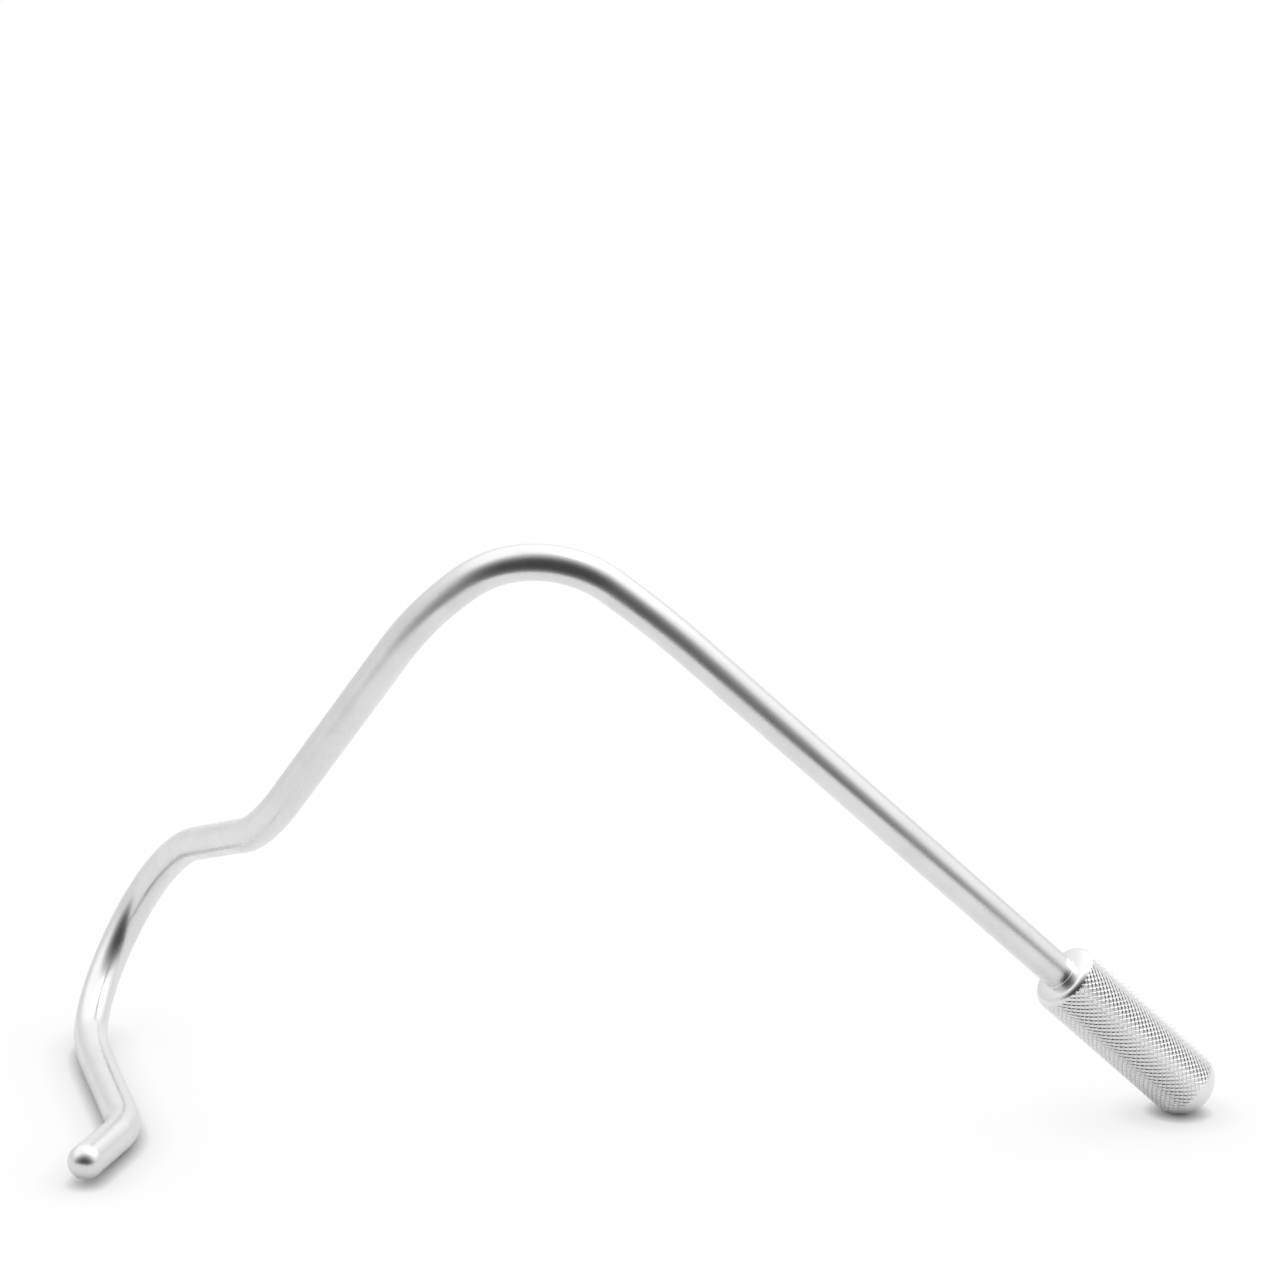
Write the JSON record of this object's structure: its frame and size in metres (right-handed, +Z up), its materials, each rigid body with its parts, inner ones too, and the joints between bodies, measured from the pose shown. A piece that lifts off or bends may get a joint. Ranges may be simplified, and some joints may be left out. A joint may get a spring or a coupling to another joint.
{
  "type": "handheld surgical retractor",
  "caption": "One-piece bent round rod with a hook end and a short domed, knurled grip, standing on three points.",
  "frame": {"origin": "on the surface it stands on, under the middle of its box", "axes": "+Z up, standing on the handle's dome, the hook's bottom and the heel bend; +X to the handle's side, hook on -X; -Y to the viewer of the picture"},
  "size_m": [0.1704, 0.071, 0.0898],
  "materials": {
    "rod_steel": "satin, blasted stainless steel",
    "handle_steel": "diamond-knurled stainless steel, polished at both ends"
  },
  "bodies": {
    "root": {"bent_rod": "rod_steel", "knurled_handle": "handle_steel"}
  },
  "joints": []
}
